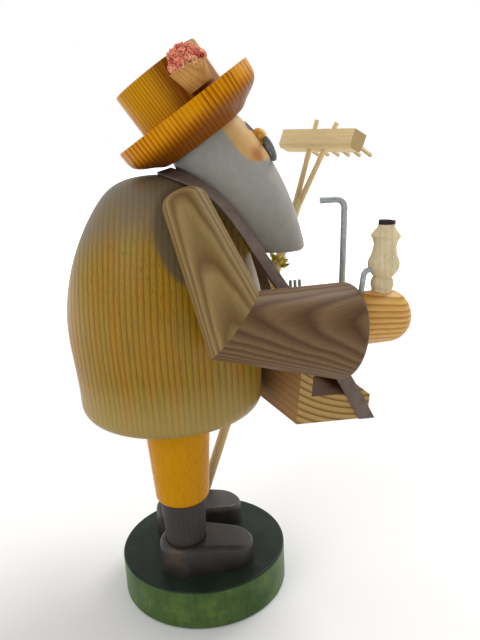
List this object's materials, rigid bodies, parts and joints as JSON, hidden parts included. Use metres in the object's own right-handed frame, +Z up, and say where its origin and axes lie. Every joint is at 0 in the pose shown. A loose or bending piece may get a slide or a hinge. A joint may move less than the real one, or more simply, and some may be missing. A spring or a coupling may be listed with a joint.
{
  "type": "incense smoker figure",
  "caption": "Turned wooden incense smoker: a bearded pedlar with belly tray, hay rake, pipe and tilted hat; the hollow coat lifts off the hip plug to set an incense cone.",
  "frame": {"origin": "centre of the base disc's underside", "axes": "+Z up; the figure faces -Y and its right hand is on the -X side"},
  "size_m": [0.1326, 0.1492, 0.2398],
  "materials": {
    "base_green": "green glaze over turned wood, satin",
    "shoe_dark": "dark grey-brown stain, satin",
    "trouser_amber": "amber stain with grain showing, satin",
    "bare_wood": "bare turned beech",
    "tin_plate": "pressed tin plate",
    "steel_wire": "plain drawn wire",
    "coat_olive": "olive stain, darker spray at the shoulders, satin",
    "head_grey": "grey spray for hair and beard, flesh tone for the face",
    "nose_flesh": "flesh-toned turned bead",
    "hat_orange": "golden-orange stain, striped grain",
    "pale_wood": "bare pale wood",
    "blossom": "dried pink and red blossom",
    "sleeve_brown": "walnut-brown stain with grain showing, satin",
    "hand_tan": "flesh-toned wood with grain showing",
    "tray_brown": "brown stain with grain showing, satin",
    "strap_leather": "dark brown leather band",
    "herb_green": "dried herb tuft"
  },
  "bodies": {
    "stand": {"base_disc": "base_green", "right_shoe": "shoe_dark", "left_shoe": "shoe_dark", "right_boot_shaft": "shoe_dark", "left_boot_shaft": "shoe_dark", "right_trouser_leg": "trouser_amber", "left_trouser_leg": "trouser_amber", "right_leg_dowel": "bare_wood", "left_leg_dowel": "bare_wood", "hip_plug": "bare_wood", "incense_dish": "tin_plate", "dish_nail": "steel_wire"},
    "figure": {"right_arm_dowel": "bare_wood", "left_arm_dowel": "bare_wood", "glasses": "steel_wire", "wire_hook": "steel_wire", "wire_fork": "steel_wire", "pipe_stem": "steel_wire", "coat": "coat_olive", "head": "head_grey", "nose": "nose_flesh", "hat_brim": "hat_orange", "hat_crown": "hat_orange", "hat_cup": "pale_wood", "pipe_bowl": "pale_wood", "rake_handle": "pale_wood", "rake_bar": "pale_wood", "rake_tine_1": "pale_wood", "rake_tine_2": "pale_wood", "rake_tine_3": "pale_wood", "rake_tine_4": "pale_wood", "rake_tine_5": "pale_wood", "rake_tine_6": "pale_wood", "hat_blossom": "blossom", "right_upper_arm": "sleeve_brown", "left_upper_arm": "sleeve_brown", "right_forearm": "sleeve_brown", "left_forearm": "sleeve_brown", "right_hand": "hand_tan", "left_hand": "hand_tan", "tray": "tray_brown", "strap": "strap_leather", "herb_sprig": "herb_green"}
  },
  "joints": [
    {"name": "coat_lift", "type": "slide", "parent": "stand", "child": "figure", "axis": [0, 0, 1], "range_m": [0, 0.06]}
  ]
}
